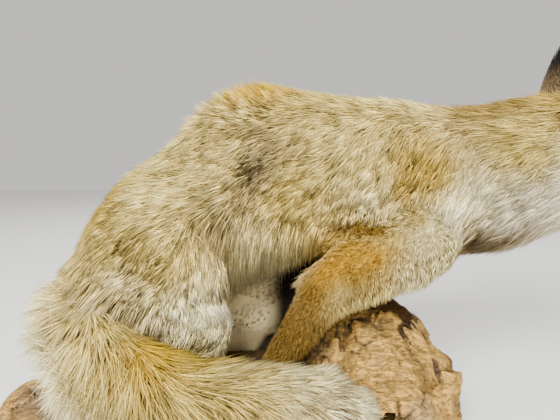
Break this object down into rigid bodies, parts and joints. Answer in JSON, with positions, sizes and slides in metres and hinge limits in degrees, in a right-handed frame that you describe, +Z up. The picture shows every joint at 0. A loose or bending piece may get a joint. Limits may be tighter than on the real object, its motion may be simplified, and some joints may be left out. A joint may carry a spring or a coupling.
{
  "type": "taxidermy red fox on driftwood",
  "caption": "Mounted red fox crouching over a piece of driftwood, head forward and level, with the bushy tail swept round the near side.",
  "frame": {"origin": "centre of the driftwood's flat underside", "axes": "+X from the tail towards the nose, +Y to the fox's left, +Z up"},
  "size_m": [0.7274, 0.2821, 0.4321],
  "materials": {
    "coat_sand": "long sandy fur",
    "coat_cream": "pale cream fur",
    "coat_rust": "short golden-brown fur",
    "coat_brush": "long loose tail hair",
    "ear": "short dark fur",
    "nose": "grained, slightly glossy",
    "eye": "clear gloss over an amber iris",
    "driftwood": "weathered, dry"
  },
  "bodies": {
    "root": {"driftwood": "driftwood", "trunk": "coat_sand", "neck": "coat_cream", "head": "coat_sand", "nose": "nose", "eye_left": "eye", "eye_right": "eye", "ear_left": "ear", "ear_right": "ear", "tail_base": "coat_brush", "tail_middle": "coat_brush", "tail_tip": "coat_cream", "upper_arm_left": "coat_rust", "forearm_left": "coat_rust", "fore_paw_left": "coat_rust", "upper_arm_right": "coat_rust", "forearm_right": "coat_rust", "fore_paw_right": "coat_rust", "thigh_left": "coat_sand", "hind_shank_left": "coat_cream", "hind_paw_left": "coat_rust", "thigh_right": "coat_sand", "hind_shank_right": "coat_cream", "hind_paw_right": "coat_rust"}
  },
  "joints": []
}
